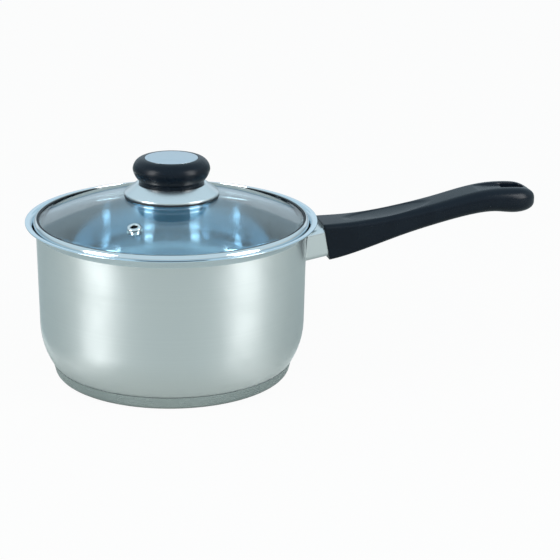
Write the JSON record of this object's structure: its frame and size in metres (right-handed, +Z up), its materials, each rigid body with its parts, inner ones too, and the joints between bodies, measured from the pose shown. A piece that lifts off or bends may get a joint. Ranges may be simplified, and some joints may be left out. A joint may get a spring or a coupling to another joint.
{
  "type": "saucepan with glass lid",
  "caption": "Steel saucepan with a capsule base, flared pouring rim and long moulded handle, under a domed glass lid with a steel band, steam vent and round knob.",
  "frame": {"origin": "centre of the flat underside of the base, on the pan's own axis", "axes": "+Z up along the pan's axis, +X towards the tip of the handle, +Y to the right seen from the handle's tip looking at the pan"},
  "size_m": [0.3153, 0.1736, 0.132],
  "materials": {
    "satin_steel": "polished stainless steel, faint vertical draw lines outside, mirror-like inside",
    "capsule_steel": "stainless steel turned in fine concentric rings",
    "bright_steel": "bright stainless sheet",
    "plain_steel": "plain pressed stainless sheet",
    "zinc_steel": "zinc-plated steel fastener",
    "aluminium_core": "cast aluminium disc",
    "brushed_disc": "anodised disc with a fine brushed grain",
    "turned_brass": "turned brass",
    "black_bakelite": "compression-moulded phenolic, satin gloss",
    "dark_silicone": "soft dark silicone",
    "tempered_glass": "clear tempered glass with a pale blue-green tint"
  },
  "bodies": {
    "pan": {"pan_shell": "satin_steel", "base_core": "aluminium_core", "base_cover": "capsule_steel", "handle_bracket": "plain_steel", "bracket_nut": "zinc_steel", "flame_guard": "bright_steel", "handle_grip": "black_bakelite", "handle_screw": "zinc_steel", "handle_screw_washer": "zinc_steel"},
    "lid": {"lid_glass": "tempered_glass", "lid_band": "bright_steel", "band_seal": "dark_silicone", "vent_eyelet": "bright_steel", "vent_gasket": "dark_silicone", "vent_washer": "bright_steel", "knob_skirt": "bright_steel", "skirt_gasket": "dark_silicone", "knob_body": "black_bakelite", "knob_cap": "brushed_disc", "knob_insert": "turned_brass", "hole_grommet": "dark_silicone", "knob_gasket_lower": "dark_silicone", "knob_washer": "plain_steel", "knob_spring_washer": "zinc_steel", "knob_screw": "zinc_steel"}
  },
  "joints": [
    {"name": "lid_lift", "type": "slide", "parent": "pan", "child": "lid", "axis": [0, 0, 1], "range_m": [0, 0.12]}
  ]
}
